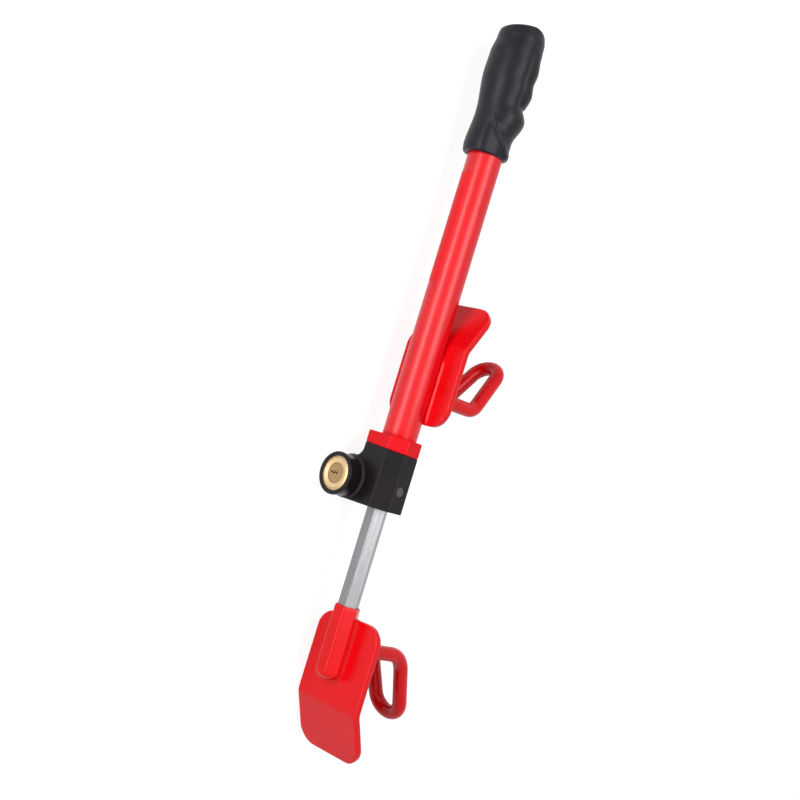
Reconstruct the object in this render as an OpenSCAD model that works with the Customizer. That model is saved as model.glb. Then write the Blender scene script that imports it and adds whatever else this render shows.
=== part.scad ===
// Telescoping steering wheel lock: a notched hexagonal bar slides in a red tube, a key cylinder in
// the housing drives a bolt into the notches, and a clamp plate with a rod hook on each end takes
// the rim of the wheel.
// +X runs along the bar towards the grip, +Y is the key side, +Z is up from the floor it lies on.
// Working zero: the bar's axis, level with the lower end of the housing. All sizes in millimetres.

/* [Tube] */
// Outside diameter of the tube
tube_d = 25; // [23:0.5:26]
// Wall of the tube
tube_wall = 2; // [1.6:0.1:2.2]
// Length of tube that shows between the housing and the grip
tube_show = 206.8; // [190:0.1:300]
// Depth of the tube's socket in the housing
tube_seat = 25; // [20:1:26]

/* [Hexagonal bar] */
// Width of the bar across its flats
bar_af = 13.5; // [12.5:0.1:14]
// Length of bar that shows between the housing and the lower sleeve
bar_show = 70.5; // [65:0.5:120]
// Distance from one locking notch to the next
notch_pitch = 10; // [9:0.5:11]
// Notches that the bar can travel into the tube from where it rests
notches_in = 6; // [2:1:6]
// Notches that the bar can travel out of the tube from where it rests
notches_out = 16; // [8:1:18]
// Play of the locking bolt along a notch
notch_play = 0.4; // [0.2:0.1:0.8]
// Length of the stop collar on the bar's inner end
collar_len = 9; // [7:1:14]

/* [Housing] */
// Length of the black jacket along the bar's axis
jacket_len = 41; // [40:1:55]
// Length of the red rim above the jacket
rim_len = 10; // [8:0.1:14]
// Key side face of the housing from the bar's axis
house_front = 20; // [19:0.5:22]
// Back face of the housing from the bar's axis
house_back = 15; // [14.5:0.5:18]
// Half of the housing's width
house_half = 20.2; // [19.5:0.1:22]
// Size of the housing's two front corner cuts, along each side
house_cut = 9.8; // [8:0.1:10.5]
// Width of the housing's flat sides
house_side = 12.8; // [10:0.1:14]
// Slope of the seam between jacket and rim, lower on the side away from the key
seam_slope = 3.3; // [0:0.1:4]
// Wall of the jacket
jacket_wall = 1.8; // [1.4:0.1:2]
// Floor of the jacket
jacket_floor = 2; // [1.5:0.1:3]

/* [Key boss] */
// Radius of the boss at its front bead, and of the lobe that carries it
boss_r = 15.2; // [15.1:0.1:17]
// Front face of the boss from the bar's axis
boss_face = 33.5; // [33:0.5:38]
// Sideways offset of the key's axis from the bar's axis
boss_offset = 17.7; // [17:0.1:19]
// Radius of the blend from the lobe into the housing
lobe_fillet = 9; // [6:0.5:10]
// Length of the bead on the boss's front
bead_len = 3; // [2:0.1:5]

/* [Lock cylinder] */
// Radius of the brass lock cylinder
cyl_r = 12.2; // [12:0.1:12.4]
// Radius of the key plug's head
plug_head_r = 7.2; // [7:0.1:8]
// Radius of the key plug behind its head
plug_r = 5.5; // [5.2:0.1:5.8]
// Diameter of the tumbler pins
pin_d = 2.4; // [2:0.1:2.5]
// Distance from one tumbler pin to the next
pin_pitch = 2.8; // [2.7:0.05:2.9]
// Number of tumbler pins
pin_count = 5; // [3:1:5]
// Wire of the pin springs
spring_wire = 0.4; // [0.3:0.05:0.5]

/* [Locking bolt] */
// Diameter of the bolt
bolt_d = 6.4; // [5.5:0.1:6.6]
// Key side offset of the bolt from the bar's axis
bolt_y = 4; // [3.6:0.1:4.3]
// Depth of the notches in the bar's corner
notch_depth = 3.4; // [2.6:0.1:3.5]
// Diameter of the cam's drive pin
cam_pin_d = 3; // [2.6:0.1:3.2]

/* [Clamp plates] */
// Thickness of both plates
plate_t = 5; // [4:0.5:6]
// Width of the upper plate
upper_plate_w = 56.5; // [54:0.5:64]
// Width of the lower plate
lower_plate_w = 60; // [54:0.5:64]
// Radius of the plates' corners
plate_corner_r = 14; // [8:1:20]
// Inside radius of the plates' bends
plate_bend_r = 6; // [4:0.5:10]
// Front face of the upper plate behind the bar's axis
upper_plate_y = 8; // [7:0.1:9]
// Flat length of the upper plate
upper_flat = 54; // [54:1:70]
// Slanted length of the upper plate
upper_slant = 36.5; // [26:0.5:45]
// Angle of the upper plate's slanted end
upper_angle = 29; // [20:1:35]
// Gap from the housing to the upper plate
upper_gap = 13.6; // [8:0.1:30]
// Flat length of the lower plate
lower_flat = 59; // [56:1:70]
// Slanted length of the lower plate
lower_slant = 38; // [30:1:50]
// Angle of the lower plate's slanted end
lower_angle = 27; // [20:1:35]
// Length of the sleeve that stands clear of the lower plate
sleeve_clear = 8; // [4:0.5:12]

/* [Rod hooks] */
// Diameter of the rod with its coat
rod_d = 10.4; // [9:0.1:11]
// Half of the distance between a hook's legs at the plate
hook_half = 15.3; // [15:0.1:17]
// Depth of the upper hook behind its plate, to the middle of the rod
upper_hook_depth = 36; // [32:1:50]
// Bend radius where the upper hook's legs turn outwards
upper_bend_r = 11.5; // [8:0.5:14]
// Angle of the upper hook's slanted end
upper_hook_angle = 35; // [25:1:40]
// Length of the upper hook's slanted end, to the middle of its tip
upper_hook_len = 43.5; // [36:0.5:50]
// Radius of the upper hook's tip, to the middle of the rod
upper_tip_r = 11; // [7:0.1:13]
// Distance of the upper hook's legs from the upper plate's lower edge
upper_hook_inset = 20.3; // [14:0.1:30]
// Depth of the lower hook behind its plate, to the middle of the rod
lower_hook_depth = 40; // [32:1:50]
// Bend radius where the lower hook's legs turn outwards
lower_bend_r = 18; // [8:0.5:20]
// Angle of the lower hook's slanted end
lower_hook_angle = 26; // [22:1:40]
// Length of the lower hook's slanted end, to the middle of its tip
lower_hook_len = 50.5; // [42:0.5:54]
// Radius of the lower hook's tip, to the middle of the rod
lower_tip_r = 12.4; // [7:0.1:13]
// Distance of the lower hook's legs from the lower plate's upper edge
lower_hook_inset = 18.3; // [14:0.1:30]

/* [Lower sleeve] */
// Width of the sleeve across its flats
sleeve_af = 16.5; // [16:0.1:18.5]
// Length of bar inside the sleeve
sleeve_hold = 44; // [36:1:56]
// Front face of the lower plate behind the bar's axis
lower_plate_y = 7; // [6.4:0.1:7.6]

/* [Grip] */
// Length of the grip
grip_len = 97; // [90:0.1:115]
// Radius of the grip at its palm swell
grip_r = 19.4; // [18:0.1:21]
// Depth of the grip's collar and finger grooves below its swell, as a share of their usual depth
groove_share = 1; // [0.3:0.1:1.2]
// Rubber over the end of the tube
grip_end = 14; // [12:1:20]

/* [Hidden] */
$fn = 64;

// Clearances: between parts that are pressed or cast together, that slide, and that turn.
fixed_gap = 0.05;
slide_gap = 0.12;
turn_gap = 0.06;

// Colours
red = "#e0101c";
black = "#1d1b1e";
brass = "#d8b878";
steel = "#b9b8bc";

// Along the bar
house_len = jacket_len + rim_len;
tube_start = house_len - tube_seat;
grip_start = house_len + tube_show;
tube_end = grip_start + grip_len - grip_end;
tube_r = tube_d / 2;
tube_bore_r = tube_r - tube_wall;
bush_end = house_len - 1;
stop_start = bush_end + notches_out * notch_pitch + 1;
bar_end = stop_start + collar_len + 1;
sleeve_start = -bar_show;
bar_start = sleeve_start - sleeve_hold;
bar_corner_r = bar_af / 2 / cos(30);
passage_r = bar_corner_r + 0.5;

// Key boss and what it holds, measured along +Y from the bar's axis
boss_x = boss_r;
boss_z = -boss_offset;
collar_r = boss_r - 0.6;
collar_wall = 2;
boss_foot = 1.2;
collar_back = house_front + boss_foot;
nest_r = collar_r - 1.2;
nest_front = boss_face - collar_wall - fixed_gap;
lobe_back = -4;
nest_back = lobe_back + jacket_wall;
bolt_r = bolt_d / 2;
cam_back = bolt_y + bolt_r + 0.4;
cam_disc_t = 1.8;
cam_disc_r = plug_r + 1;
cyl_back = cam_back + cam_disc_t + 0.1;
ring_len = 6.2;
ring_front = boss_face - 0.3;
ring_back = ring_front - ring_len;
plug_step = ring_back - 2.6;
plug_front = ring_front - 1.1;
first_pin_y = cyl_back + 1.7;
shear_r = plug_r + turn_gap / 2;
driver_len = 2.6;
pin_bore_r = pin_d / 2 + 0.05;
keyway_w = 1.1;
ward_line = [[-4.8, 0], [-3.7, 0.7], [-2.3, -0.6], [-0.7, 0.6], [1.6, 0]];

// Bolt travel: the drive pin swings 45 degrees to each side of the bar's direction
tip_gap = 0.3;
bolt_stroke = notch_depth + tip_gap - 0.4;
cam_throw = bolt_stroke / 2 / sin(45);
cam_slot_play = 0.4;
bolt_tip_z = -bar_corner_r - tip_gap;
bolt_tail_z = boss_z - (bolt_stroke + cam_pin_d) / 2 - 2.4;
notch_floor_z = notch_depth - bar_corner_r;
notch_w = bolt_d + notch_play;
notch_flare = 0.7;

// Clamps
upper_x = house_len + upper_gap;
lower_x = sleeve_start - sleeve_clear;
saddle_r = tube_r + 4;
sleeve_tip_r = sleeve_af / 2 / cos(30) + 0.7;
weld_h = 1.5;

// The whole lock's box, for its origin at the middle of the underside
lower_end_x = lower_x - plate_end_x(lower_flat, lower_slant, lower_angle);
grip_top = grip_start + grip_len;
hook_low_y = min(
  hook_tip_y(upper_plate_y, upper_hook_depth, upper_hook_len, upper_hook_angle),
  hook_tip_y(lower_plate_y, lower_hook_depth, lower_hook_len, lower_hook_angle));
origin_shift = [-(lower_end_x + grip_top) / 2, -(boss_face + hook_low_y) / 2, boss_r + boss_offset];

function plate_end_x(flat, slant, angle) =
  flat + (plate_bend_r + plate_t) * sin(angle) + slant * cos(angle);
function hook_tip_y(plate_y, depth, len, angle) =
  -plate_y - plate_t - depth - len * sin(angle) - rod_d / 2;

// ---- Frames -------------------------------------------------------------------------------

module placed() translate(origin_shift) children();

// 2D x becomes +Y, 2D y becomes +Z, and heights run along +X from x.
module along_bar(x) translate([x, 0, 0]) rotate([90, 0, 90]) children();

// 2D x stays +X, 2D y becomes +Z, and heights run towards -Y from y.
module behind(y) translate([0, y, 0]) rotate([90, 0, 0]) children();

// The key's axis: local +Z is +Y, and local -Y is +Z.
module on_key_axis(y = 0) translate([boss_x, y, boss_z]) rotate([-90, 0, 0]) children();

// A hexagonal prism along the bar, with a corner to +Z and -Z.
module hex_along(x, len, af) translate([x, 0, 0]) rotate([0, 90, 0])
  cylinder(d = af / cos(30), h = len, $fn = 6);

// ---- Swept skins --------------------------------------------------------------------------

// Faces of a closed skin over rings of n points each, with a flat cap on both ends. The points
// of a ring run anticlockwise seen against the direction of travel.
function skin_faces(rings, n) = concat(
  [[for (i = [0:n - 1]) i]],
  [for (k = [0:rings - 2]) for (i = [0:n - 1]) let (j = (i + 1) % n, a = k * n, b = a + n)
    each [[b + j, a + j, a + i], [b + i, b + j, a + i]]],
  [[for (i = [n - 1:-1:0]) (rings - 1) * n + i]]);

module skin(rings) polyhedron([for (ring = rings) each ring],
  skin_faces(len(rings), len(rings[0])), convexity = 8);

function unit(v) = v / norm(v);

// Stations of [point, direction] along the bend of a rod that comes from a, turns near corner on
// radius r and leaves for b.
function bend(a, corner, b, r, steps) =
  let (into = unit(corner - a), out = unit(b - corner), turn = acos(into * out))
  let (centre = corner + unit(out - into) * r / cos(turn / 2))
  let (start = corner - into * r * tan(turn / 2) - centre)
  [for (i = [0:steps]) let (t = turn * i / steps)
    [centre + start * cos(t) + into * r * sin(t), into * cos(t) - start / r * sin(t)]];

// A round rod through stations, none of which runs along across.
rod_sides = 24;
module rod(stations, across) skin([for (s = stations)
  let (u = unit(cross(s[1], across)), v = cross(s[1], u))
  [for (i = [0:rod_sides - 1]) let (a = i * 360 / rod_sides)
    s[0] + rod_d / 2 * (cos(a) * u + sin(a) * v)]]);

// A closed ended hook: two legs run straight back from the plate, turn outwards and meet in a
// round tip. way is +1 where it opens towards the grip and -1 where it opens away from it.
module hook(x, plate_y, way, depth, bend_r, len, angle, tip_r) {
  root_y = -plate_y - plate_t;
  turn_y = root_y - depth;
  to_tip = len - tip_r;
  taper = atan(hook_half / to_tip) - asin(tip_r / norm([to_tip, hook_half]));
  meet = hook_half / tan(taper);
  apex = [x + way * meet * cos(angle), turn_y - meet * sin(angle), 0];
  roots = [for (side = [1, -1]) [x, root_y, side * hook_half]];
  corners = [for (side = [1, -1]) [x, turn_y, side * hook_half]];
  rod(concat(
    [[roots[0], [0, -1, 0]]],
    bend(roots[0], corners[0], apex, bend_r, 7),
    bend(corners[0], apex, corners[1], tip_r, 14),
    bend(apex, corners[1], roots[1], bend_r, 7),
    [[roots[1], [0, 1, 0]]]), [way * sin(angle), cos(angle), 0]);
}

// ---- Bent plate ---------------------------------------------------------------------------

// Front face at y = 0 and back face at y = -plate_t. The free end is at x = 0, and the far end
// slants back by angle. Stations are [point on the front face, its outward normal, half width].
corner_steps = 12;
bend_steps = 8;
function corner_half(w, a) = w / 2 - plate_corner_r * (1 - cos(a));
function plate_stations(w, flat, slant, angle) =
  let (outer_r = plate_bend_r + plate_t, normal = [sin(angle), cos(angle)])
  let (slant_start = [flat, -outer_r] + outer_r * normal)
  concat(
    [for (i = [0:corner_steps]) let (a = 90 * (1 - i / corner_steps))
      [[plate_corner_r * (1 - sin(a)), 0], [0, 1], corner_half(w, a)]],
    [for (i = [0:bend_steps]) let (a = angle * i / bend_steps)
      [[flat, -outer_r] + outer_r * [sin(a), cos(a)], [sin(a), cos(a)], w / 2]],
    [for (i = [0:corner_steps]) let (a = 90 * i / corner_steps)
      [slant_start + (slant - plate_corner_r * (1 - sin(a))) * [cos(angle), -sin(angle)],
       normal, corner_half(w, a)]]);

module bent_plate(w, flat, slant, angle) skin([for (s = plate_stations(w, flat, slant, angle))
  let (front = s[0], back = s[0] - plate_t * s[1])
  [[front[0], front[1], s[2]], [back[0], back[1], s[2]],
   [back[0], back[1], -s[2]], [front[0], front[1], -s[2]]]]);

// ---- Tube and grip ------------------------------------------------------------------------

module outer_tube() color(red) placed() along_bar(tube_start) difference() {
  cylinder(r = tube_r, h = tube_end - tube_start);
  translate([0, 0, -1]) cylinder(r = tube_bore_r, h = tube_end - tube_start + 2);
}

// Moulded plug that closes the tube under the rubber.
end_plug_len = 12;
end_plug_rim = 2;
module tube_end_plug() color(black) placed() along_bar(tube_end) {
  translate([0, 0, fixed_gap]) cylinder(r = tube_r, h = end_plug_rim);
  translate([0, 0, -end_plug_len])
    cylinder(r = tube_bore_r - fixed_gap, h = end_plug_len + fixed_gap);
}

// The grip's section. side is the angle round the bar from +Y towards +Z, and h is the height
// above the grip's mouth. Finger lobes and grooves face the hooks, and the palm side swells. The
// lines give [share of the grip's length, depth below the swell], with a flat tangent at each.
grip_rings = 34;
grip_sides = 40;
finger_turn = 150;
palm_line = [[0, 2.6], [0.06, 1.8], [0.3, 3.4], [0.62, 0.5], [0.76, 0.9], [0.88, 2.7], [1, 4.4]];
finger_line = [[0, 4.2], [0.14, 4.6], [0.305, 0.6], [0.395, 2.3], [0.51, 0], [0.6, 1],
               [0.68, 0.2], [0.8, 1.3], [0.88, 1.7], [1, 4]];
function smooth(t) = t * t * (3 - 2 * t);
function depth_at(line, share) =
  let (k = max([for (i = [0:len(line) - 2]) if (line[i][0] <= share) i]))
  let (a = line[k], b = line[k + 1])
  a[1] + (b[1] - a[1]) * smooth(min(1, (share - a[0]) / (b[0] - a[0])));
function grip_radius(side, h) =
  let (f = smooth((1 + cos(side - finger_turn)) / 2), share = max(0, h / grip_len))
  let (palm = depth_at(palm_line, share), fingers = depth_at(finger_line, share))
  grip_r - groove_share * (palm * (1 - f) + fingers * f);

// The crown leans: it is highest towards the fingers and falls in a round shoulder there.
lean_side = 136;
crown_peak = 3.5;
crown_lean = 0.42;
shoulder_drop = 17;
crown_edge = 1.6;
function crown(out) = out < crown_peak
  ? grip_len - (crown_peak - out) * crown_lean
  : let (t = min(1, (out - crown_peak) / (grip_r + 0.5 - crown_peak)))
    grip_len - shoulder_drop * (1 - sqrt(1 - t * t));
function grip_point(side, v) =
  let (h = v * (crown(0.93 * grip_r * cos(side - lean_side)) - crown_edge))
  let (r = grip_radius(side, h))
  [h, r * cos(side), r * sin(side)];
function crown_point(side, share) =
  let (rim = grip_radius(side, grip_len * 0.94) * 0.99)
  let (r = rim * share)
  [crown(r * cos(side - lean_side)) - 0.8 * crown_edge * pow(share, 8), r * cos(side), r * sin(side)];

crown_shares = [0.97, 0.88, 0.72, 0.5, 0.25, 0.04];
module grip_skin() {
  sides = [for (i = [0:grip_sides - 1]) i * 360 / grip_sides];
  skin(concat(
    [for (k = [0:grip_rings]) [for (side = sides) grip_point(side, k / grip_rings)]],
    [for (share = crown_shares) [for (side = sides) crown_point(side, share)]]));
}

module grip() color(black) placed() difference() {
  translate([grip_start, 0, 0]) grip_skin();
  along_bar(grip_start - 1) cylinder(r = tube_r + fixed_gap,
    h = tube_end - grip_start + 1 + end_plug_rim + 2 * fixed_gap);
}

// ---- Upper clamp --------------------------------------------------------------------------

// The plate is pressed into a saddle along its middle, which takes the back of the tube.
saddle_len = upper_flat - 1;
module upper_plate() color(red) placed() difference() {
  union() {
    translate([upper_x, -upper_plate_y, 0]) bent_plate(upper_plate_w, upper_flat, upper_slant, upper_angle);
    intersection() {
      along_bar(upper_x) cylinder(r = saddle_r, h = saddle_len);
      translate([upper_x, -saddle_r - 1, -saddle_r])
        cube([saddle_len, saddle_r + 1 - upper_plate_y - plate_t / 2, 2 * saddle_r]);
    }
  }
  along_bar(upper_x - 1) cylinder(r = tube_r + fixed_gap, h = plate_end_x(upper_flat, upper_slant, 0) + 2);
}

module upper_hook() color(red) placed()
  hook(upper_x + upper_hook_inset, upper_plate_y, 1, upper_hook_depth, upper_bend_r,
       upper_hook_len, upper_hook_angle, upper_tip_r);

// A ring of weld round each leg of a hook, on the plate's back.
module leg_welds(x, plate_y) for (side = [1, -1])
  translate([x, -plate_y - plate_t, side * hook_half]) rotate([90, 0, 0]) difference() {
    cylinder(r1 = rod_d / 2 + 2, r2 = rod_d / 2 + 0.4, h = 2);
    translate([0, 0, -1]) cylinder(d = rod_d, h = 4);
  }

// The seams along the tube have round ends, and the tube and saddle cut them from one strip.
module upper_welds() color(red) placed() {
  seam_half = tube_r * cos(asin(upper_plate_y / tube_r)) + 1.3;
  difference() {
    translate([upper_x + 4, 0, 0]) behind(weld_h - upper_plate_y)
      linear_extrude(weld_h) {
        translate([0, -seam_half]) square([upper_flat - 4 - seam_half, 2 * seam_half]);
        translate([upper_flat - 4 - seam_half, 0]) circle(r = seam_half);
      }
    along_bar(upper_x - 1) cylinder(r = tube_r + fixed_gap, h = upper_flat + 2);
  }
  difference() {
    leg_welds(upper_x + upper_hook_inset, upper_plate_y);
    along_bar(upper_x) cylinder(r = saddle_r, h = saddle_len);
  }
}

// ---- Housing ------------------------------------------------------------------------------

// The eight sided section, drawn inwards by inset.
module house_section(inset = 0) {
  front = house_front - inset;
  back = -house_back + inset;
  half = house_half - inset;
  cut = house_cut - inset * (2 - sqrt(2));
  side_end = house_front - house_cut - house_side + inset * (sqrt(2) - 1);
  back_cut = side_end - back;
  polygon([[front, -half + cut], [front, half - cut], [front - cut, half], [side_end, half],
           [back, half - back_cut], [back, -half + back_cut], [side_end, -half], [front - cut, -half]]);
}

// The lobe beside the bar that carries the boss, with its blend into the housing.
module lobe_section() {
  side_z = -house_half + house_cut;
  shoulder_x = boss_x + boss_r + lobe_fillet;
  translate([boss_x, boss_z]) circle(r = boss_r);
  translate([0, boss_z]) square([boss_x, -boss_z]);
  difference() {
    translate([boss_x, side_z - lobe_fillet]) square([boss_r + lobe_fillet, lobe_fillet - side_z]);
    translate([shoulder_x, side_z - lobe_fillet]) circle(r = lobe_fillet);
  }
}

// Everything above the sloping seam between the jacket and the rim.
seam_drop = house_half * tan(seam_slope) + 1;
module above_seam() translate([jacket_len, 0, 0]) rotate([45, 0, 0]) rotate([0, -seam_slope, 0])
  translate([0, -3 * house_half, -3 * house_half]) cube(6 * house_half);

// The casting inside the jacket, grown by gap.
module core_solid(gap = 0) {
  along_bar(jacket_floor + fixed_gap - gap)
    linear_extrude(jacket_len + seam_drop - jacket_floor + gap)
      house_section(jacket_wall + fixed_gap - gap);
  on_key_axis(nest_back + fixed_gap - gap) cylinder(r = nest_r + gap, h = nest_front - nest_back);
}

module lock_housing() color(red) placed() difference() {
  union() {
    core_solid();
    intersection() {
      along_bar(jacket_len - 2 * seam_drop) linear_extrude(rim_len + 2 * seam_drop) house_section();
      above_seam();
    }
  }
  along_bar(-1) cylinder(r = passage_r, h = house_len + 2);
  along_bar(tube_start - fixed_gap) cylinder(r = tube_r + fixed_gap, h = tube_seat + 2);
  on_key_axis(cyl_back - fixed_gap) cylinder(r = cyl_r + fixed_gap, h = boss_face);
  on_key_axis(bolt_y - cam_pin_d) cylinder(r = cam_disc_r + 0.3, h = boss_face / 2);
  translate([boss_x, bolt_y, bolt_tail_z - 0.5]) cylinder(r = bolt_r + turn_gap, h = house_half * 3);
  cylinder_screw_hole(fixed_gap);
}

module housing_jacket() color(black) placed() difference() {
  union() {
    along_bar(0) linear_extrude(jacket_len + 2 * seam_drop) house_section();
    behind(house_front) linear_extrude(house_front - lobe_back) lobe_section();
    intersection() {
      on_key_axis(house_front - jacket_wall)
        cylinder(r1 = boss_r + 1.6, r2 = collar_r + 0.3, h = jacket_wall + boss_foot);
      translate([0, 0, boss_z - boss_r]) cube([house_len, 2 * house_front, house_half - boss_z]);
    }
  }
  core_solid(fixed_gap);
  above_seam();
  along_bar(-1) cylinder(r = passage_r + 0.4, h = jacket_floor + 4);
  translate([boss_x, bolt_y, 0]) cylinder(r = plug_head_over + bolt_r + fixed_gap, h = house_half + 2);
}

// Collar pressed over the nest, with a bead round its front edge.
module boss_collar() color(black) placed() on_key_axis() rotate_extrude() polygon([
  [nest_r + fixed_gap, collar_back], [collar_r, collar_back], [collar_r, boss_face - bead_len],
  [boss_r, boss_face - bead_len + 0.7], [boss_r, boss_face - 0.8], [boss_r - 0.8, boss_face],
  [cyl_r + 0.6, boss_face], [cyl_r + 0.1, boss_face - 0.5], [cyl_r + 0.1, boss_face - collar_wall],
  [nest_r + fixed_gap, boss_face - collar_wall]]);

// Bush in the tube's lower end that guides the hexagonal bar.
module bar_bush() color("#cfcac0") placed() difference() {
  along_bar(tube_start) cylinder(r = tube_bore_r - fixed_gap, h = bush_end - tube_start);
  hex_along(tube_start - 1, bush_end - tube_start + 2, bar_af + 2 * slide_gap);
}

// Plug that closes the outer end of the bolt's bore, with a low dome in the jacket's hole.
plug_head_over = 0.5;
plug_dome_r = 1.6 * bolt_d;
module bore_plug() color("#4a464c") placed() translate([boss_x, bolt_y, 0]) {
  head_z = house_half - jacket_wall;
  translate([0, 0, passage_r + 0.6]) cylinder(r = bolt_r, h = head_z - passage_r);
  intersection() {
    translate([0, 0, head_z]) cylinder(r = bolt_r + plug_head_over, h = 2 * jacket_wall);
    translate([0, 0, house_half - 0.1 - plug_dome_r]) rotate([90, 0, 0]) sphere(r = plug_dome_r);
  }
}

// ---- Lock cylinder ------------------------------------------------------------------------

// Children are repeated at each tumbler pin, with local +Z running out from the key's axis
// towards the bar.
module at_each_pin() for (i = [0:pin_count - 1])
  translate([boss_x, first_pin_y + i * pin_pitch, boss_z]) children();

module cylinder_body() color(brass) placed() difference() {
  on_key_axis(cyl_back) cylinder(r = cyl_r, h = ring_back - cyl_back);
  on_key_axis(cyl_back - 1) cylinder(r = plug_r + turn_gap, h = ring_back);
  on_key_axis(plug_step) cylinder(r = plug_head_r + turn_gap, h = ring_back);
  at_each_pin() cylinder(r = pin_bore_r, h = cyl_r + 1);
  cylinder_screw_hole(fixed_gap);
}

// Guard ring round the keyway: a reeded band outside and a smooth bevel inside.
reeds = 56;
module face_ring() color(brass) placed() on_key_axis() difference() {
  rotate_extrude() polygon([
    [plug_head_r + turn_gap, ring_back], [cyl_r, ring_back], [cyl_r, ring_front - 0.8],
    [cyl_r - 1.8, ring_front], [cyl_r - 2.4, ring_front], [plug_head_r + turn_gap, plug_front + 0.2]]);
  for (i = [0:reeds - 1]) rotate([0, 0, i * 360 / reeds])
    translate([cyl_r - 1.9, 0, ring_front - 0.5]) rotate([0, 26, 0]) rotate([0, 0, 12])
      cube([3, 0.35, 1.1]);
}

// Screw that holds the lock cylinder in the casting, under the jacket.
screw_r = 2;
screw_in = 6;
screw_y = cyl_back + screw_in;
module cylinder_screw_hole(gap = 0) translate([boss_x - nest_r - 1, screw_y, boss_z])
  rotate([0, 90, 0]) cylinder(r = screw_r + gap, h = nest_r - cyl_r + 3 + gap);

module cylinder_screw() color(steel) placed() difference() {
  intersection() {
    cylinder_screw_hole();
    on_key_axis() cylinder(r = nest_r - 0.1, h = boss_face);
  }
  translate([boss_x - nest_r - 2, screw_y - 0.3, boss_z - screw_r]) cube([3.2, 0.6, 2 * screw_r]);
}

// The tumblers stand as the right key holds them, so that the plug is free to turn.
key_cuts = [0.5, 1.3, 0.8, 1.6, 0.9];
module driver_pins() color(brass) placed() at_each_pin()
  translate([0, 0, shear_r + 0.06]) cylinder(d = pin_d, h = driver_len);

module key_pins() color(steel) placed() for (i = [0:pin_count - 1])
  translate([boss_x, first_pin_y + i * pin_pitch, boss_z]) {
    point_len = pin_d / 2;
    translate([0, 0, key_cuts[i]]) cylinder(r1 = 0.4, r2 = pin_d / 2, h = point_len);
    translate([0, 0, key_cuts[i] + point_len])
      cylinder(d = pin_d, h = plug_r - 2 * turn_gap - point_len - key_cuts[i]);
  }

// One pin spring: a round wire wound on a helix, as one swept solid.
spring_turns = 4;
spring_steps = 10;
wire_sides = 5;
module pin_spring(from, to) {
  coil_r = pin_d / 2 - spring_wire / 2 - 0.1;
  steps = spring_turns * spring_steps;
  rise = to - from - spring_wire;
  skin([for (k = [0:steps]) [for (i = [0:wire_sides - 1])
    let (a = k * 360 / spring_steps, b = -i * 360 / wire_sides)
    let (r = coil_r + spring_wire / 2 * cos(b))
    [r * cos(a), r * sin(a), from + spring_wire / 2 * (1 + sin(b)) + rise * k / steps]]]);
}

module pin_springs() color(steel) placed() at_each_pin()
  pin_spring(shear_r + 0.06 + driver_len + 0.02, cyl_r);

// The keyway is a crooked slot that the ward ridges of its key fit.
module keyway_section() {
  last = len(ward_line) - 1;
  polygon([for (i = [0:last]) [ward_line[i][1] + keyway_w / 2, ward_line[i][0]],
           for (i = [last:-1:0]) [ward_line[i][1] - keyway_w / 2, ward_line[i][0]]]);
}

module key_plug() color("#b08a52") placed() difference() {
  on_key_axis() rotate_extrude() polygon([
    [0, cyl_back], [plug_r, cyl_back], [plug_r, plug_step + turn_gap],
    [plug_head_r, plug_step + turn_gap], [plug_head_r, plug_front - 0.4],
    [plug_head_r - 0.4, plug_front], [0, plug_front]]);
  translate([boss_x, 0, boss_z]) behind(boss_face) linear_extrude(boss_face - cyl_back - 1)
    keyway_section();
  at_each_pin() translate([0, 0, -0.6]) cylinder(r = pin_bore_r, h = cyl_r);
}

// Cam fixed to the plug's back. Its drive pin stands off the axis and works the bolt.
module drive_cam() color(steel) placed() on_key_axis() {
  translate([0, 0, cam_back]) cylinder(r = cam_disc_r, h = cam_disc_t);
  rotate([0, 0, 135]) translate([cam_throw, 0, bolt_y - 0.6])
    cylinder(d = cam_pin_d, h = cam_back - bolt_y + 0.8);
}

// Bolt that the cam pushes into a notch of the bar, with a cross slot for the drive pin.
module locking_bolt() color(steel) placed() difference() {
  translate([boss_x, bolt_y, bolt_tail_z]) cylinder(r = bolt_r, h = bolt_tip_z - bolt_tail_z);
  slot_w = cam_pin_d + cam_slot_play;
  slot_start = -cam_throw - cam_pin_d;
  slot_end = (slot_w - bolt_stroke) / 2;
  translate([boss_x + slot_start, bolt_y - 0.8, boss_z - (bolt_stroke + slot_w) / 2])
    cube([slot_end - slot_start, bolt_d, slot_w]);
}

// ---- Bar and lower clamp ------------------------------------------------------------------

// One notch on the bar's lower corner, wider at its mouth.
module notch_section() polygon([
  [-notch_w / 2, notch_floor_z], [notch_w / 2, notch_floor_z],
  [notch_w / 2 + notch_flare, -bar_corner_r - 1], [-notch_w / 2 - notch_flare, -bar_corner_r - 1]]);

module slide_bar() color(steel) placed() difference() {
  hex_along(bar_start, bar_end - bar_start, bar_af);
  for (i = [-notches_in:notches_out]) translate([boss_x + i * notch_pitch, 0, 0])
    behind(bar_af) linear_extrude(2 * bar_af) notch_section();
  stop_pin_hole(fixed_gap);
}

stop_pin_r = 1.5;
module stop_pin_hole(gap = 0) translate([stop_start + collar_len / 2, tube_bore_r - 1, 0])
  rotate([90, 0, 0]) cylinder(r = stop_pin_r + gap, h = 2 * tube_bore_r - 2);

// Collar that meets the bush when the bar is drawn right out.
module stop_collar() color(steel) placed() difference() {
  along_bar(stop_start) cylinder(r = tube_bore_r - 0.3, h = collar_len);
  hex_along(stop_start - 1, collar_len + 2, bar_af + 2 * fixed_gap);
  stop_pin_hole(fixed_gap);
}

module stop_pin() color(steel) placed() stop_pin_hole();

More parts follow.
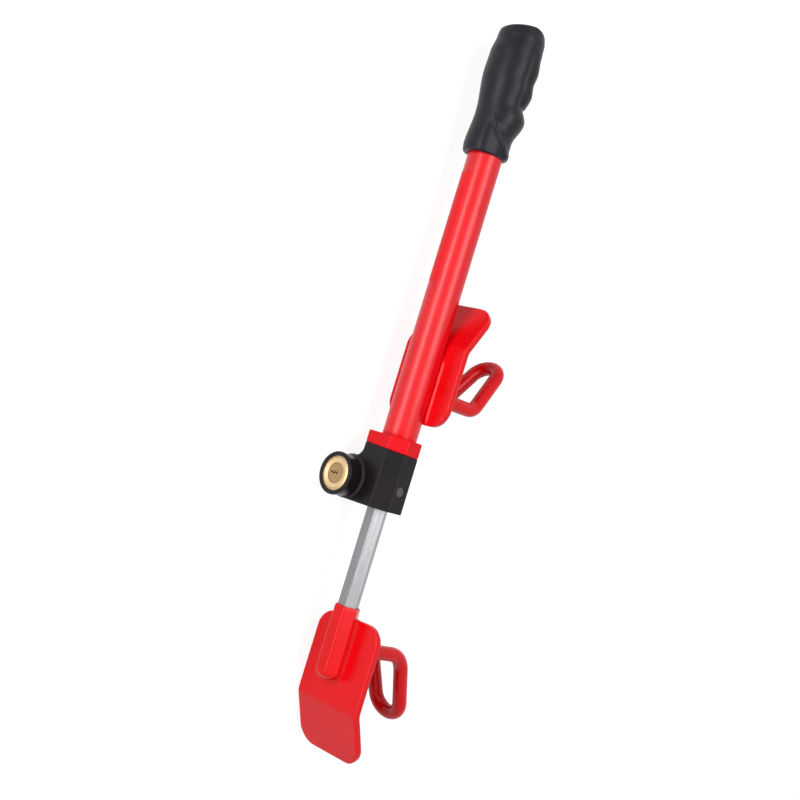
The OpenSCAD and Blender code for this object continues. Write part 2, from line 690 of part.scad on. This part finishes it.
// The sleeve is closed by a round nose, and cut flat where it lies on the plate.
module sleeve_solid(grow = 0) {
  nose_x = bar_start + 1;
  hex_along(nose_x, sleeve_start - nose_x, sleeve_af + 2 * grow);
  intersection() {
    hex_along(nose_x - sleeve_tip_r, sleeve_tip_r + 1, sleeve_af + 2 * grow);
    translate([nose_x, 0, 0]) sphere(r = sleeve_tip_r + grow);
  }
}

module lower_sleeve() color(red) placed() difference() {
  sleeve_solid();
  hex_along(bar_start - fixed_gap, sleeve_hold + 1, bar_af + 2 * fixed_gap);
  translate([lower_x - 2 * sleeve_hold, -lower_plate_y - plate_t, -sleeve_af])
    cube([2 * sleeve_hold, plate_t, 2 * sleeve_af]);
}

module lower_plate() color(red) placed()
  translate([lower_x, -lower_plate_y, 0]) mirror([1, 0, 0])
    bent_plate(lower_plate_w, lower_flat, lower_slant, lower_angle);

module lower_hook() color(red) placed()
  hook(lower_x - lower_hook_inset, lower_plate_y, -1, lower_hook_depth, lower_bend_r,
       lower_hook_len, lower_hook_angle, lower_tip_r);

// The seam round the sleeve follows its nose.
module lower_welds() color(red) placed() {
  seam_half = sleeve_af / 2 - 0.1;
  difference() {
    translate([bar_start + 1, 0, 0]) behind(weld_h - lower_plate_y) linear_extrude(weld_h) {
      translate([0, -seam_half]) square([lower_x - bar_start - 3, 2 * seam_half]);
      circle(r = seam_half + 2.2);
    }
    sleeve_solid(fixed_gap);
  }
  leg_welds(lower_x - lower_hook_inset, lower_plate_y);
}

outer_tube();
tube_end_plug();
grip();
upper_plate();
upper_hook();
upper_welds();
lock_housing();
housing_jacket();
boss_collar();
bar_bush();
cylinder_body();
face_ring();
cylinder_screw();
driver_pins();
pin_springs();
bore_plug();
slide_bar();
stop_collar();
stop_pin();
lower_sleeve();
lower_plate();
lower_hook();
lower_welds();
key_plug();
key_pins();
drive_cam();
locking_bolt();
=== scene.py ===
import math

import bmesh
import bpy
from mathutils import Matrix, Vector


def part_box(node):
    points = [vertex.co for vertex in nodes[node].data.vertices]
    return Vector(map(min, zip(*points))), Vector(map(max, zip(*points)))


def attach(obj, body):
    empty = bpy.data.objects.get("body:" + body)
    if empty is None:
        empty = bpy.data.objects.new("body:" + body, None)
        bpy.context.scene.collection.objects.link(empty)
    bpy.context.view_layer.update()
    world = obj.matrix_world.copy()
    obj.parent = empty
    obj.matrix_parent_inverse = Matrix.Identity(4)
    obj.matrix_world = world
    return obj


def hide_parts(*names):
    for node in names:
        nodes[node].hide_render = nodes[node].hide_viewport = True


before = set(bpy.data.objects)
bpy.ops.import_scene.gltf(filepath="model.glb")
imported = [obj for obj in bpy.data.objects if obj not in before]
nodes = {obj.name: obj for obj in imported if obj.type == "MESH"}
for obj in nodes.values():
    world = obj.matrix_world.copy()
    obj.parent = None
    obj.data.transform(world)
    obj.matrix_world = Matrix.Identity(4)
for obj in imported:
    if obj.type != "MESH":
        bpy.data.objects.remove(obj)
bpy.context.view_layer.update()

# ---- Camera -------------------------------------------------------------------------------
# The lock stands on its hook end in this view, leaning to the right, and is seen from between
# its key side and its upper side. The bar's axis and the housing's lower end place the camera.
mm = 0.001
tube_low, tube_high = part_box("outer_tube")
axis_y = (tube_low.y + tube_high.y) / 2
axis_z = (tube_low.z + tube_high.z) / 2
house_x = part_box("housing_jacket")[0].x
camera_turn = math.radians(43.04)
camera_far = 900 * mm
camera_along = 38.6 * mm
aim_along = 76.6 * mm
lean = math.radians(17.0)
sensor, focal_ratio, framed_at = 36, 1.432, 800 * mm
aim_right, aim_down = 0.0125, 0.00375

camera_data = bpy.data.cameras.new("camera")
camera = bpy.data.objects.new("camera", camera_data)
bpy.context.scene.collection.objects.link(camera)
camera_data.sensor_width = sensor
camera_data.lens = sensor * focal_ratio * camera_far / framed_at
camera_data.clip_start, camera_data.clip_end = 0.05, 50

place = Vector((house_x + camera_along, axis_y + camera_far * math.cos(camera_turn),
                axis_z + camera_far * math.sin(camera_turn)))
look = (Vector((house_x + aim_along, axis_y, axis_z)) - place).normalized()
bar_up = (Vector((1, 0, 0)) - look * look.x).normalized()
bar_right = look.cross(bar_up)
up = math.cos(lean) * bar_up - math.sin(lean) * bar_right
right = math.cos(lean) * bar_right + math.sin(lean) * bar_up
half_view = sensor / 2 / camera_data.lens
look = (look - right * aim_right * 2 * half_view + up * aim_down * 2 * half_view).normalized()
right = look.cross(up).normalized()
up = right.cross(look)
camera.location = place
camera.rotation_mode = "QUATERNION"
camera.rotation_quaternion = Matrix((right, up, -look)).transposed().to_quaternion()
bpy.context.scene.camera = camera

# ---- Studio -------------------------------------------------------------------------------
# A plain white floor that keeps the lock's soft shadow, a white backdrop, and three soft lamps: a
# long one above the bar, a long one on the key side, and between them one that leaves no highlight.
bpy.context.scene.view_settings.view_transform = "Standard"


def node_tree(name):
    """A new material with its nodes, its links and its main shader."""
    material = bpy.data.materials.new(name)
    material.use_nodes = True
    tree = material.node_tree
    return material, tree.nodes, tree.links, tree.nodes["Principled BSDF"]


def lamp(name, angle, far, width, length, watts, along=0.05):
    """A soft lamp at that angle round the bar, from the key side upwards, and facing the bar."""
    turn = math.radians(angle)
    where = Vector((house_x + along, axis_y + far * math.cos(turn), axis_z + far * math.sin(turn)))
    data = bpy.data.lights.new(name, "AREA")
    data.shape = "RECTANGLE"
    data.size, data.size_y = width, length
    data.energy = watts
    obj = bpy.data.objects.new(name, data)
    bpy.context.scene.collection.objects.link(obj)
    obj.location = where
    obj.rotation_mode = "QUATERNION"
    obj.rotation_quaternion = (Vector((house_x + along, axis_y, axis_z)) - where).to_track_quat("-Z", "X")
    return obj


def white_rays(n, l):
    """1 for camera, glossy and transmission rays, which all see the studio white, and 0 for others."""
    path = n.new("ShaderNodeLightPath")
    seen = path.outputs["Is Camera Ray"]
    for kind in ("Is Glossy Ray", "Is Transmission Ray"):
        either = n.new("ShaderNodeMath")
        either.operation = "MAXIMUM"
        l.new(seen, either.inputs[0])
        l.new(path.outputs[kind], either.inputs[1])
        seen = either.outputs[0]
    return seen


lamp("lamp_above", angle=83, far=1.0, width=0.5, length=1.15, watts=7.0, along=0.42)
lamp("lamp_key_side", angle=8, far=1.0, width=0.32, length=1.2, watts=6.6)
fill = lamp("lamp_fill", angle=35, far=1.3, width=0.6, length=0.6, watts=1.8)
fill.visible_glossy = False

world = bpy.data.worlds.new("studio")
bpy.context.scene.world = world
world.use_nodes = True
world.cycles.sampling_method = "NONE"
n, l = world.node_tree.nodes, world.node_tree.links
backdrop = n["Background"]
backdrop.inputs["Color"].default_value = (1, 1, 1, 1)
fill_level, white_level = 0.26, 1.0
level = n.new("ShaderNodeMapRange")
level.inputs["To Min"].default_value = fill_level
level.inputs["To Max"].default_value = white_level
l.new(white_rays(n, l), level.inputs["Value"])
l.new(level.outputs["Result"], backdrop.inputs["Strength"])

reach, floor_grey, floor_glow = 6.0, 0.36, 0.85
floor_mesh = bpy.data.meshes.new("floor")
floor_corners = [(-reach, -reach, 0.0), (reach, -reach, 0.0), (reach, reach, 0.0), (-reach, reach, 0.0)]
floor_mesh.from_pydata(floor_corners, [], [(0, 1, 2, 3)])
floor = bpy.data.objects.new("floor", floor_mesh)
bpy.context.scene.collection.objects.link(floor)
floor_white, n, l, shader = node_tree("floor_white")
shader.inputs["Base Color"].default_value = (floor_grey, floor_grey, floor_grey, 1)
shader.inputs["Roughness"].default_value = 0.9
shader.inputs["Specular IOR Level"].default_value = 0.0
shader.inputs["Emission Color"].default_value = (1, 1, 1, 1)
glow = n.new("ShaderNodeMath")
glow.operation = "MULTIPLY"
glow.inputs[1].default_value = floor_glow
l.new(white_rays(n, l), glow.inputs[0])
l.new(glow.outputs[0], shader.inputs["Emission Strength"])
floor_white.cycles.emission_sampling = "NONE"
floor_mesh.materials.append(floor_white)


def coordinates(n, l, scale=(1, 1, 1)):
    """Object coordinates in metres, stretched by scale."""
    place_node = n.new("ShaderNodeTexCoord")
    mapping = n.new("ShaderNodeMapping")
    mapping.inputs["Scale"].default_value = scale
    l.new(place_node.outputs["Object"], mapping.inputs["Vector"])
    return mapping.outputs["Vector"]


def noise(n, l, at, scale, detail):
    node = n.new("ShaderNodeTexNoise")
    node.inputs["Scale"].default_value = scale
    node.inputs["Detail"].default_value = detail
    l.new(at, node.inputs["Vector"])
    return node.outputs["Fac"]


def vary(n, l, at, scale, low, high, socket, detail=4):
    """Lets a socket wander over the surface between two numbers or two colours."""
    noise_low, noise_high = 0.3, 0.7
    value = noise(n, l, at, scale, detail)
    if isinstance(low, tuple):
        node = n.new("ShaderNodeValToRGB")
        start, end = node.color_ramp.elements
        start.position, end.position = noise_low, noise_high
        start.color, end.color = (*low, 1), (*high, 1)
        l.new(value, node.inputs["Fac"])
        l.new(node.outputs["Color"], socket)
        return
    node = n.new("ShaderNodeMapRange")
    node.inputs["From Min"].default_value = noise_low
    node.inputs["From Max"].default_value = noise_high
    node.inputs["To Min"].default_value, node.inputs["To Max"].default_value = low, high
    l.new(value, node.inputs["Value"])
    l.new(node.outputs["Result"], socket)


def bump(n, l, at, scale, strength, shader, detail=2, depth=0.02 * mm):
    node = n.new("ShaderNodeBump")
    node.inputs["Strength"].default_value = strength
    node.inputs["Distance"].default_value = depth
    l.new(noise(n, l, at, scale, detail), node.inputs["Height"])
    l.new(node.outputs["Normal"], shader.inputs["Normal"])


merge_within = 0.002 * mm


def finish_surface(node_name, material, edge=0.0):
    """Gives a CAD node its material and rounds its edges, as the real process leaves them."""
    obj = nodes[node_name]
    for slot in obj.material_slots:
        slot.material = material
    if edge:
        weld = obj.modifiers.new("weld", "WELD")
        weld.merge_threshold = merge_within
        bevel = obj.modifiers.new("edge", "BEVEL")
        bevel.width = edge * mm
        bevel.segments = 3
        bevel.limit_method = "ANGLE"
        bevel.angle_limit = math.radians(35)
        bevel.harden_normals = True


enamel, n, l, shader = node_tree("red_enamel")
peel_at = coordinates(n, l)
streak_at = coordinates(n, l, (0.06, 1, 1))
shader.inputs["Specular IOR Level"].default_value = 0.5
vary(n, l, peel_at, 60, (0.70, 0.001, 0.006), (0.80, 0.003, 0.012), shader.inputs["Base Color"])
vary(n, l, streak_at, 500, 0.27, 0.34, shader.inputs["Roughness"])
bump(n, l, peel_at, 420, 0.12, shader)
finish_surface("outer_tube", enamel, 0.3)

# ---- Grip ---------------------------------------------------------------------------------
# Soft black rubber moulded over the tube's end, with finger lobes on the hook side and a palm
# swell on the other. Its surface has a fine spark-eroded mould texture.
rubber, n, l, shader = node_tree("black_rubber")
at = coordinates(n, l)
vary(n, l, at, 90, (0.002, 0.002, 0.003), (0.004, 0.004, 0.006), shader.inputs["Base Color"])
vary(n, l, at, 500, 0.38, 0.45, shader.inputs["Roughness"])
shader.inputs["Specular IOR Level"].default_value = 0.3
shader.inputs["Specular Tint"].default_value = (0.90, 0.90, 1.0, 1)
bump(n, l, at, 1800, 0.12, shader)

grip_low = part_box("grip")[0]
grip_len = 97.0
swell_r = 19.4
tube_r = (tube_high.z - tube_low.z) / 2 / mm
end_plug_room = 2.1
bore_len = (tube_high.x - grip_low.x) / mm + end_plug_room
finger_turn = 150
# Depth below the swell at shares of the length, down the palm side and down the finger side.
palm_line = [(0, 2.6), (0.06, 1.8), (0.3, 3.4), (0.62, 0.5), (0.76, 0.9), (0.88, 2.6), (1, 4.2)]
finger_line = [(0, 4.2), (0.14, 4.2), (0.305, -0.4), (0.395, 2.3), (0.51, 0), (0.6, 1),
               (0.68, 0.2), (0.8, 1.3), (0.88, 1.7), (1, 4)]
# The valley, the notch and the lip: millimetres deep, high and wide, and degrees off the fingers.
valley_deep, valley_off, valley_wide = 1.7, 56, 13
valley_start, valley_fade_in, valley_end, valley_fade_out = 36, 8, 66, 16
notch_deep, notch_at, notch_wide, notch_off, notch_fade = 1.1, 38.5, 1.7, 30, 40
lip_low, lip_rise, lip_off, lip_span, lip_curve = 1, 17, 40, 67, 1.4
lip_deep, lip_end_off, lip_fade, under_lip_from, under_lip_fade = 1.5, 98, 30, 6, 8
lip_swell, lip_swell_up, lip_swell_wide = 0.8, 3, 2.6
crown_top, crown_flat, crown_slope, crown_fall, crown_wide = 95.6, 7, 0.15, 5, 12.4


def smooth(t):
    t = min(1.0, max(0.0, t))
    return t * t * (3 - 2 * t)


def hump(distance, width):
    return math.exp(-(distance / width) ** 2)


def depth_at(line, share):
    """Depth on a line of (share of the length, depth), eased from point to point."""
    share = min(1.0, max(0.0, share))
    for (a, a_depth), (b, b_depth) in zip(line, line[1:]):
        if share <= b:
            return a_depth + (b_depth - a_depth) * smooth((share - a) / (b - a))
    return line[-1][1]


def grip_radius(side, height):
    """side in degrees round the bar from the key side upwards, height in mm above the mouth."""
    off = abs((side - finger_turn + 180) % 360 - 180)
    fingers = smooth((1 + math.cos(math.radians(off))) / 2)
    share = height / grip_len
    radius = swell_r - depth_at(palm_line, share) * (1 - fingers) - depth_at(finger_line, share) * fingers
    # A valley behind the second finger's lobe, and a sharp notch between the two lobes.
    along = (smooth((height - valley_start) / valley_fade_in)
             * (1 - smooth((height - valley_end) / valley_fade_out)))
    radius -= valley_deep * hump(off - valley_off, valley_wide) * along
    radius -= notch_deep * hump(height - notch_at, notch_wide) * (1 - smooth((off - notch_off) / notch_fade))
    # The lobes end over the collar in a slanting lip.
    lip_at = lip_low + lip_rise * (max(0, off - lip_off) / lip_span) ** lip_curve
    lip = 1 - smooth((off - lip_end_off) / lip_fade)
    under = 1 - smooth(height - lip_at + 0.5)
    radius -= lip_deep * lip * under * smooth((height + under_lip_from) / under_lip_fade)
    radius += lip_swell * lip * hump(height - lip_at - lip_swell_up, lip_swell_wide)
    return radius


def crown_height(out):
    """The crown's height at a distance out from the bar's axis, towards the crown's low side."""
    if out < crown_flat:
        return crown_top - (crown_flat - out) * crown_slope
    return crown_top - crown_fall * (1 - math.sqrt(1 - min(1.0, (out - crown_flat) / crown_wide) ** 2))


def skin_mesh(name, rings, low_pole, high_pole):
    """A closed skin over rings of points, with a fan from each end ring to its pole."""
    mesh = bmesh.new()
    made = [[mesh.verts.new(point) for point in ring] for ring in rings]
    count = len(rings[0])
    for below, above in zip(made, made[1:]):
        for i in range(count):
            j = (i + 1) % count
            mesh.faces.new((below[i], below[j], above[j], above[i]))
    for pole, ring, way in ((low_pole, made[0], -1), (high_pole, made[-1], 1)):
        tip = mesh.verts.new(pole)
        for i in range(count):
            mesh.faces.new((tip, *(ring[i], ring[(i + 1) % count])[::way]))
    bmesh.ops.recalc_face_normals(mesh, faces=mesh.faces)
    data = bpy.data.meshes.new(name)
    mesh.to_mesh(data)
    mesh.free()
    return data


def dress(name, data, body, material, slot_name, *nodes_replaced):
    """Puts a mesh into the scene as a smooth piece that rides on a body."""
    data.polygons.foreach_set("use_smooth", [True] * len(data.polygons))
    data.materials.append(material)
    obj = bpy.data.objects.new(name, data)
    bpy.context.scene.collection.objects.link(obj)
    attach(obj, body)
    if nodes_replaced:
        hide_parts(*nodes_replaced)


def grip_place(side, height, radius):
    """A place in degrees round the bar, mm above the grip's mouth and mm from the bar's axis."""
    turn = math.radians(side)
    return (grip_low.x + height * mm, axis_y + radius * math.cos(turn) * mm,
            axis_z + radius * math.sin(turn) * mm)


side_count, wall_rings, wall_from = 168, 150, 1.2
sides = [i * 360 / side_count for i in range(side_count)]
crown_side, crown_edge, crown_dome = 136, 1.5, 0.5
bore_r = tube_r + 0.05
# The bore, the mouth's rounded lip, the wall, and the crown with its round edge.
rings = [[grip_place(side, bore_len, bore_r) for side in sides],
         [grip_place(side, 0.8, bore_r) for side in sides],
         [grip_place(side, 0.0, tube_r + 0.7) for side in sides],
         [grip_place(side, 0.0, grip_radius(side, 0) - 1.5) for side in sides],
         [grip_place(side, 0.35, grip_radius(side, 0) - 0.5) for side in sides]]
for k in range(wall_rings):
    ring = []
    for side in sides:
        out = 0.85 * swell_r * math.cos(math.radians(side - crown_side))
        height = wall_from + (crown_height(out) - crown_edge - wall_from) * k / (wall_rings - 1)
        ring.append(grip_place(side, height, grip_radius(side, height)))
    rings.append(ring)
for share, drop in ((0.985, 0.72), (0.955, 0.36), (0.92, 0.16), (0.87, 0.05), (0.8, 0), (0.6, 0),
                    (0.4, 0), (0.2, 0)):
    ring = []
    for side in sides:
        radius = grip_radius(side, 94) * share
        height = crown_height(radius * math.cos(math.radians(side - crown_side)))
        ring.append(grip_place(side, height - crown_edge * drop + crown_dome * (1 - share), radius))
    rings.append(ring)
bore_end, crown_middle = grip_place(0, bore_len, 0), grip_place(0, crown_height(0) + crown_dome, 0)
grip_data = skin_mesh("rubber_grip", rings, bore_end, crown_middle)
dress("rubber_grip", grip_data, "lock_body", rubber, "black_rubber", "grip")

# ---- Label film ---------------------------------------------------------------------------
# Thin plastic film wrapped round the key side of the tube below the grip and held by its own
# glue. It is blank.
film_red, n, l, shader = node_tree("red_film")
at = coordinates(n, l)
vary(n, l, at, 40, (0.80, 0.004, 0.010), (0.86, 0.007, 0.014), shader.inputs["Base Color"])
vary(n, l, at, 300, 0.44, 0.5, shader.inputs["Roughness"])
shader.inputs["Specular IOR Level"].default_value = 0.35
film_low, film_high, film_thick, film_from, film_to = -95.0, -15.0, 0.14, -75, 19
film_step, film_steps, end_rise = 2.3, 40, 0.6
film_root, edge_drop, edge_in = tube_r - 0.1, 0.05, 0.25
turns = [(film_from, end_rise)]
turns += [(film_from + 1 + k * film_step, 1.0) for k in range(film_steps)]
turns += [(film_to, end_rise)]
film_rings = []
for turn, rise in turns:
    film_top = tube_r + film_thick * rise
    film_rings.append([grip_place(turn, height, radius) for height, radius in (
        (film_low, film_root), (film_low, film_top - edge_drop), (film_low + edge_in, film_top),
        (film_high - edge_in, film_top), (film_high, film_top - edge_drop), (film_high, film_root))])
film_ends = [grip_place(turn, (film_low + film_high) / 2, tube_r) for turn in (film_from, film_to)]
film_data = skin_mesh("label_film", film_rings, *film_ends)
dress("label_film", film_data, "lock_body", film_red, "red_paint")

# ---- Upper clamp --------------------------------------------------------------------------
# A pressed plate, a bent rod and their welds, dipped together in thick red vinyl, so every
# edge and corner is round and the coat fills the joints.
vinyl, n, l, shader = node_tree("red_vinyl")
at = coordinates(n, l)
vary(n, l, at, 35, (0.76, 0.001, 0.004), (0.84, 0.003, 0.008), shader.inputs["Base Color"])
vary(n, l, at, 160, 0.22, 0.28, shader.inputs["Roughness"])
shader.inputs["Specular IOR Level"].default_value = 0.25
bump(n, l, at, 60, 0.06, shader, depth=0.1 * mm)


def softened(name, members, beds=(), voxel=0.55, rounds=20, skin=0.12):
    """One soft-edged mesh over copies of the members, grown by a skin so that they meet."""
    joined = bmesh.new()
    for data in [nodes[member].data for member in members] + list(beds):
        part = bmesh.new()
        part.from_mesh(data)
        bmesh.ops.remove_doubles(part, verts=part.verts, dist=merge_within)
        part.normal_update()
        for vert in part.verts:
            vert.co += vert.normal * skin * mm
        grown = bpy.data.meshes.new(name + "_part")
        part.to_mesh(grown)
        part.free()
        joined.from_mesh(grown)
        bpy.data.meshes.remove(grown)
    rough = bpy.data.meshes.new(name + "_rough")
    joined.to_mesh(rough)
    joined.free()
    obj = bpy.data.objects.new(name + "_rough", rough)
    bpy.context.scene.collection.objects.link(obj)
    remesh = obj.modifiers.new("coat", "REMESH")
    remesh.mode = "VOXEL"
    remesh.voxel_size = voxel * mm
    soften = obj.modifiers.new("soften", "SMOOTH")
    soften.factor = 0.5
    soften.iterations = rounds
    baked = bpy.data.meshes.new_from_object(obj.evaluated_get(bpy.context.evaluated_depsgraph_get()))
    bpy.data.objects.remove(obj)
    bpy.data.meshes.remove(rough)
    baked.name = name
    baked.materials.clear()
    return baked


def weld_bed(name, start_x, nose_x, nose_len, face_y, half, rise):
    """A flat bed of weld metal on a plate's face, with a rounded nose, sunk into the plate."""
    sunk = -1.5
    outline = [(start_x, half)]
    for degrees in range(10, 171, 10):
        turn = math.radians(degrees)
        outline.append((nose_x + nose_len * math.sin(turn) * mm, half * math.cos(turn)))
    outline.append((start_x, -half))
    levels = [face_y + height * mm for height in (sunk, rise)]
    bed_rings = [[(x, y, axis_z + z * mm) for x, z in outline] for y in levels]
    return skin_mesh(name, bed_rings, *[((start_x + nose_x) / 2, y, axis_z) for y in levels])


upper_low, upper_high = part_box("upper_plate")
upper_bed = weld_bed("upper_bed", start_x=upper_low.x + 1 * mm, nose_x=upper_low.x + 44 * mm, nose_len=7,
                     face_y=upper_high.y, half=12.5, rise=0.9)
upper_coat = softened("upper_clamp_coat", ["upper_plate", "upper_hook", "upper_welds"], [upper_bed])
dress("upper_clamp_coat", upper_coat, "lock_body", vinyl, "red_vinyl",
      "upper_plate", "upper_hook", "upper_welds")

# ---- Housing ------------------------------------------------------------------------------
# Zinc casting with an eight sided rim, painted red. A black moulded jacket slides over its lower
# part, a beaded collar closes the key boss, black plugs close the tube and the bolt's bore, and a
# pale bush inside guides the bar.
rim_enamel, n, l, shader = node_tree("rim_enamel")
at = coordinates(n, l)
vary(n, l, at, 60, (0.72, 0.002, 0.007), (0.82, 0.004, 0.012), shader.inputs["Base Color"])
vary(n, l, at, 300, 0.27, 0.33, shader.inputs["Roughness"])
shader.inputs["Specular IOR Level"].default_value = 0.2
bump(n, l, at, 420, 0.08, shader)
rim_data = softened("housing_rim", ["lock_housing"], voxel=0.4, rounds=16, skin=0)
dress("housing_rim", rim_data, "lock_body", rim_enamel, "red_paint", "lock_housing")

moulded, n, l, shader = node_tree("black_moulding")
at = coordinates(n, l)
vary(n, l, at, 70, (0.007, 0.005, 0.0065), (0.011, 0.008, 0.010), shader.inputs["Base Color"])
vary(n, l, at, 400, 0.28, 0.34, shader.inputs["Roughness"])
shader.inputs["Specular IOR Level"].default_value = 0.2
bump(n, l, at, 1500, 0.08, shader)
jacket_data = softened("housing_jacket_shell", ["housing_jacket"], voxel=0.36, rounds=9, skin=0)
dress("housing_jacket_shell", jacket_data, "lock_body", moulded, "black_plastic", "housing_jacket")
finish_surface("boss_collar", moulded, 0.3)
# The bore plug is a lighter, greyer black than the moulding.
lighter_black, n, l, shader = node_tree("lighter_black")
at = coordinates(n, l)
vary(n, l, at, 200, (0.055, 0.050, 0.058), (0.080, 0.072, 0.082), shader.inputs["Base Color"])
vary(n, l, at, 700, 0.32, 0.42, shader.inputs["Roughness"])
finish_surface("bore_plug", lighter_black, 0.2)
finish_surface("tube_end_plug", moulded, 0.3)

bearing, n, l, shader = node_tree("bearing_plastic")
at = coordinates(n, l)
vary(n, l, at, 80, (0.62, 0.60, 0.54), (0.70, 0.68, 0.62), shader.inputs["Base Color"])
shader.inputs["Roughness"].default_value = 0.5
finish_surface("bar_bush", bearing, 0.3)

# ---- Lock cylinder ------------------------------------------------------------------------
# Turned brass: a guard ring with a reeded band and a polished bevel, and inside it the plug
# with its keyway, in a darker brass.


def brass_finish(name, dark, light, rough_low, rough_high):
    material, n, l, shader = node_tree(name)
    at = coordinates(n, l)
    vary(n, l, at, 240, dark, light, shader.inputs["Base Color"], detail=5)
    vary(n, l, at, 900, rough_low, rough_high, shader.inputs["Roughness"])
    shader.inputs["Metallic"].default_value = 0.6
    bump(n, l, at, 1800, 0.05, shader)
    return material


bright_brass = brass_finish("bright_brass", (0.68, 0.47, 0.24), (0.76, 0.55, 0.30), 0.34, 0.42)
darker_brass = brass_finish("darker_brass", (0.34, 0.21, 0.09), (0.42, 0.27, 0.13), 0.4, 0.5)
finish_surface("cylinder_body", bright_brass, 0.2)
finish_surface("face_ring", bright_brass)
finish_surface("driver_pins", bright_brass, 0.1)
# The key plug is simply a darker brass than the guard ring.
finish_surface("key_plug", darker_brass, 0.15)

# ---- Bar ----------------------------------------------------------------------------------
# Drawn hexagonal steel bar, ground along its length, with the locking notches milled in its
# hidden corner. Its stop collar, pins, cam, bolt and springs are bright steel as well.
steel, n, l, shader = node_tree("drawn_steel")
grain_at = coordinates(n, l, (0.03, 1, 1))
shader.inputs["Metallic"].default_value = 1.0
shader.inputs["Anisotropic"].default_value = 0.4
vary(n, l, grain_at, 1400, (0.23, 0.225, 0.235), (0.29, 0.285, 0.295),
     shader.inputs["Base Color"], detail=6)
vary(n, l, grain_at, 2600, 0.28, 0.42, shader.inputs["Roughness"])
bump(n, l, grain_at, 3000, 0.15, shader, detail=4)
finish_surface("slide_bar", steel, 0.35)
for name in ("stop_collar", "stop_pin", "cylinder_screw", "pin_springs", "key_pins", "drive_cam",
             "locking_bolt"):
    finish_surface(name, steel)

# ---- Lower clamp --------------------------------------------------------------------------
# The bar ends in a hexagonal sleeve with a round nose, welded to the front of a second bent
# plate. Plate, rod and sleeve share one dip of red vinyl.
sleeve_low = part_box("lower_sleeve")[0]
lower_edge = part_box("lower_plate")[1].x
sleeve_bed = weld_bed("sleeve_bed", start_x=lower_edge - 1.5 * mm, nose_x=sleeve_low.x + 10.2 * mm,
                      nose_len=-10, face_y=axis_y - 7 * mm, half=7.6, rise=1.0)
lower_coat = softened("lower_clamp_coat", ["lower_sleeve", "lower_plate", "lower_hook"], [sleeve_bed])
dress("lower_clamp_coat", lower_coat, "sliding_bar", vinyl, "red_vinyl",
      "lower_sleeve", "lower_plate", "lower_hook", "lower_welds")
